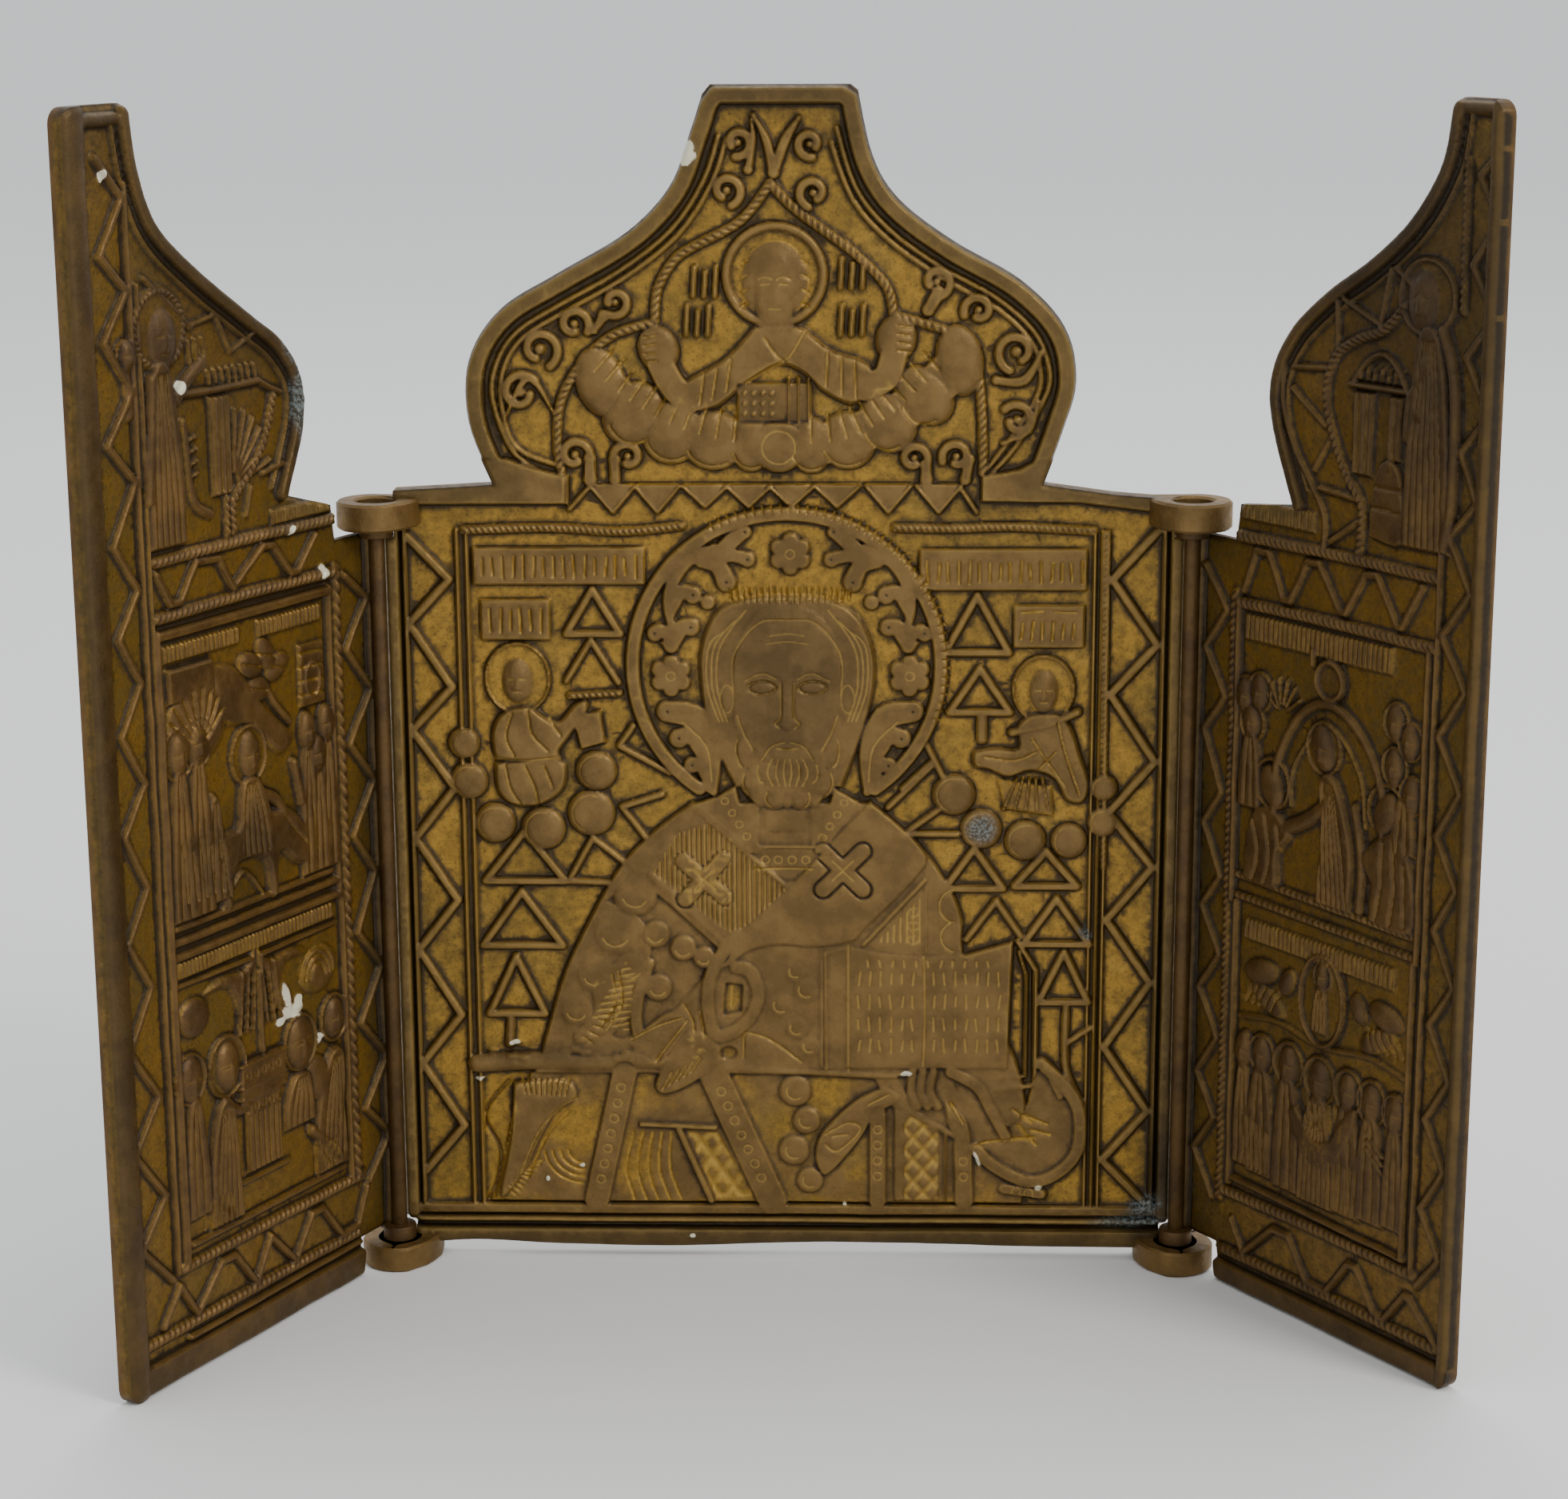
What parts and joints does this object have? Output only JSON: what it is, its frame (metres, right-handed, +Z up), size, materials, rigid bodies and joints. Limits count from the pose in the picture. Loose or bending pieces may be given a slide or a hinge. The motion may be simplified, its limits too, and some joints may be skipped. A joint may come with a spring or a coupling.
{
  "type": "triptych altarpiece",
  "caption": "Folding cast-brass travelling icon: a keel-arched relief panel with hinged relief wings that close over it.",
  "frame": {"origin": "on the surface the triptych stands on, under the middle of its box with the wings partly open as at rest", "axes": "+Z up, +X to the viewer's right, the relief of the centre panel faces -Y"},
  "size_m": [0.156, 0.0494, 0.1475],
  "materials": {
    "centre_brass": "aged cast brass, ochre ground with worn brown relief",
    "wing_brass": "aged cast brass, dark olive brown"
  },
  "bodies": {
    "centre": {"centre_panel": "centre_brass"},
    "left_leaf": {"left_wing": "wing_brass"},
    "right_leaf": {"right_wing": "wing_brass"}
  },
  "joints": [
    {"name": "left_hinge", "type": "hinge", "parent": "centre", "child": "left_leaf", "pos_m": [-0.0509, 0.02012, 0.05], "axis": [0, 0, 1], "range_deg": [-62.1, 117.9]},
    {"name": "right_hinge", "type": "hinge", "parent": "centre", "child": "right_leaf", "pos_m": [0.0479, 0.02012, 0.05], "axis": [0, 0, 1], "range_deg": [-125.3, 54.7]}
  ]
}
